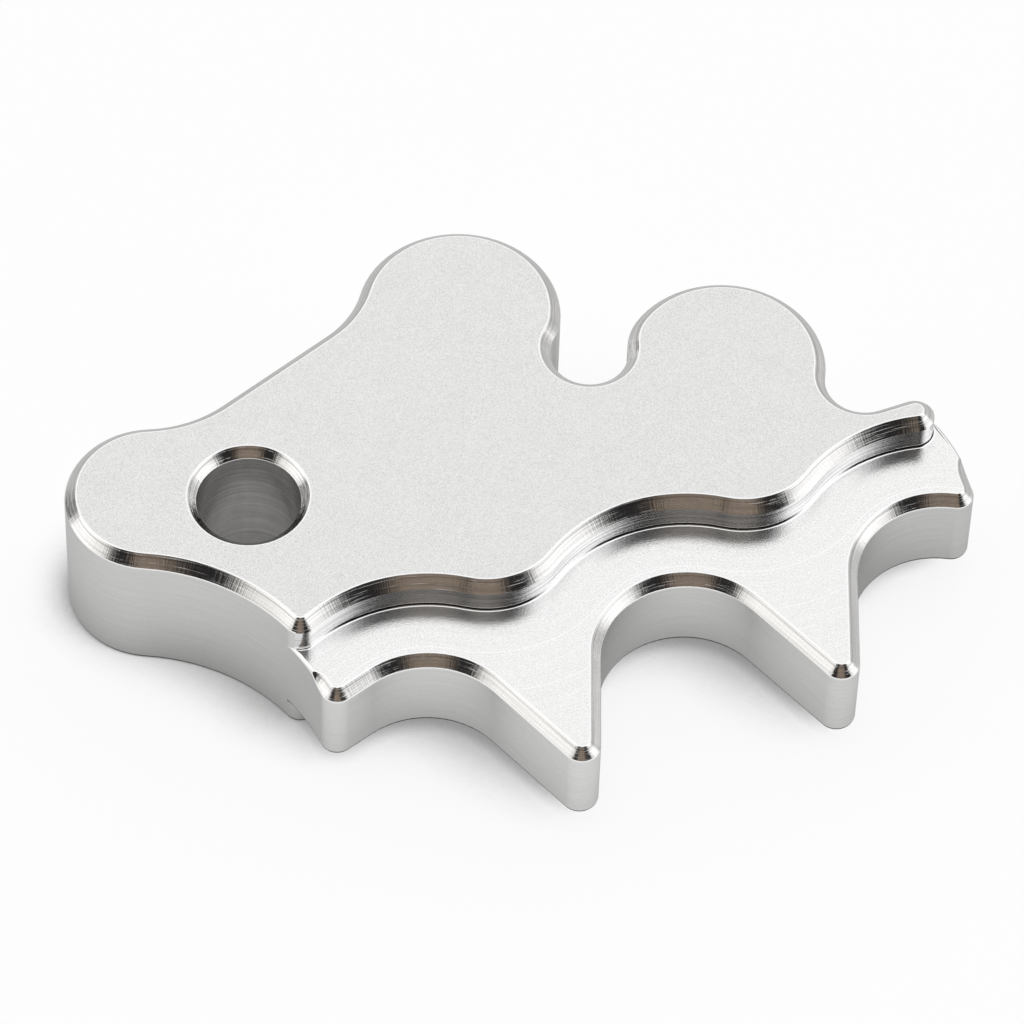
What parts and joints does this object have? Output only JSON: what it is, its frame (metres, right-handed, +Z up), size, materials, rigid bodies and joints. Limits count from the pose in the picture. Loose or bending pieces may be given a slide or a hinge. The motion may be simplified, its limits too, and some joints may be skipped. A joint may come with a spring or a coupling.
{
  "type": "machined aluminium plate",
  "caption": "Solid machined plate with a bored rounded end, rounded lobes with a notch between them, and a thinner stepped rim of pointed teeth along the front, chamfered all round.",
  "frame": {"origin": "on the bore's axis, in the plane of the underside", "axes": "+Z up along the bore's axis, +X along the row of teeth towards the narrow neck, +Y from the teeth towards the rounded lobes"},
  "size_m": [0.0844, 0.0614, 0.016],
  "materials": {
    "aluminium": "clear anodised satin over fine blasted faces and milled walls, with bright cut chamfers"
  },
  "bodies": {
    "root": {"machined_plate": "aluminium"}
  },
  "joints": []
}
